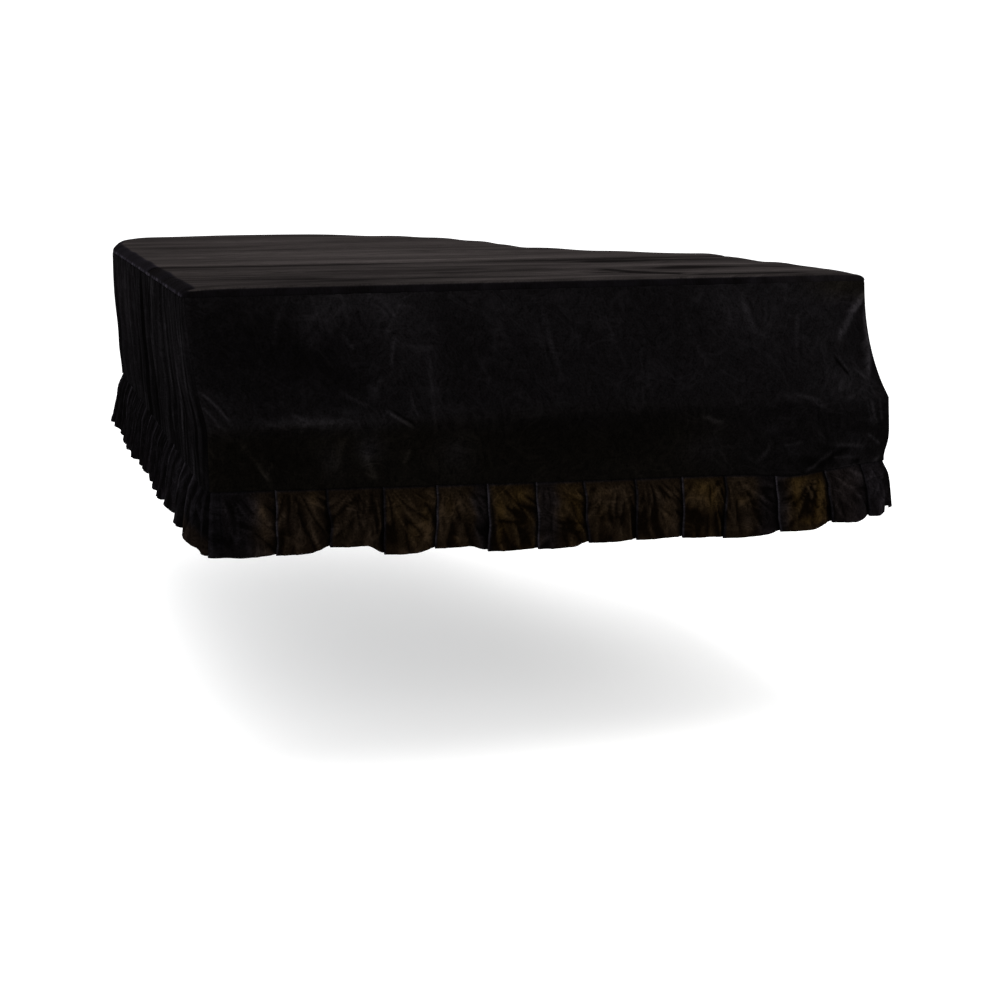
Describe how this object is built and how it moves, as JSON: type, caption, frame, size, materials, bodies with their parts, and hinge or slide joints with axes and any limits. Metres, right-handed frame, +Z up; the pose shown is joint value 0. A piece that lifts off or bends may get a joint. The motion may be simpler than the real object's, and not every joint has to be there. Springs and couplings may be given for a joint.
{
  "type": "grand piano cover",
  "caption": "Fitted velvet dust cover for a closed grand piano: seamed top, sloping front drop, gathered side skirt and pleated ruffle hem, hollow and open below.",
  "frame": {"origin": "on the closed lid's surface, under the top's cloth, halfway across the front and 1.05 m behind the top's front seam", "axes": "+X to the right seen from the keyboard end, +Y from the keyboard end to the tail, +Z up"},
  "size_m": [1.5542, 2.4023, 0.5434],
  "materials": {
    "velvet_top": "black velvet, seen along its pile",
    "velvet_skirt": "black crushed velvet",
    "velvet_ruffle": "black velvet with a warm sheen"
  },
  "bodies": {
    "root": {"top_front": "velvet_top", "top_main": "velvet_top", "skirt_front": "velvet_skirt", "skirt_side": "velvet_skirt", "ruffle_front": "velvet_ruffle", "ruffle_side": "velvet_ruffle"}
  },
  "joints": []
}
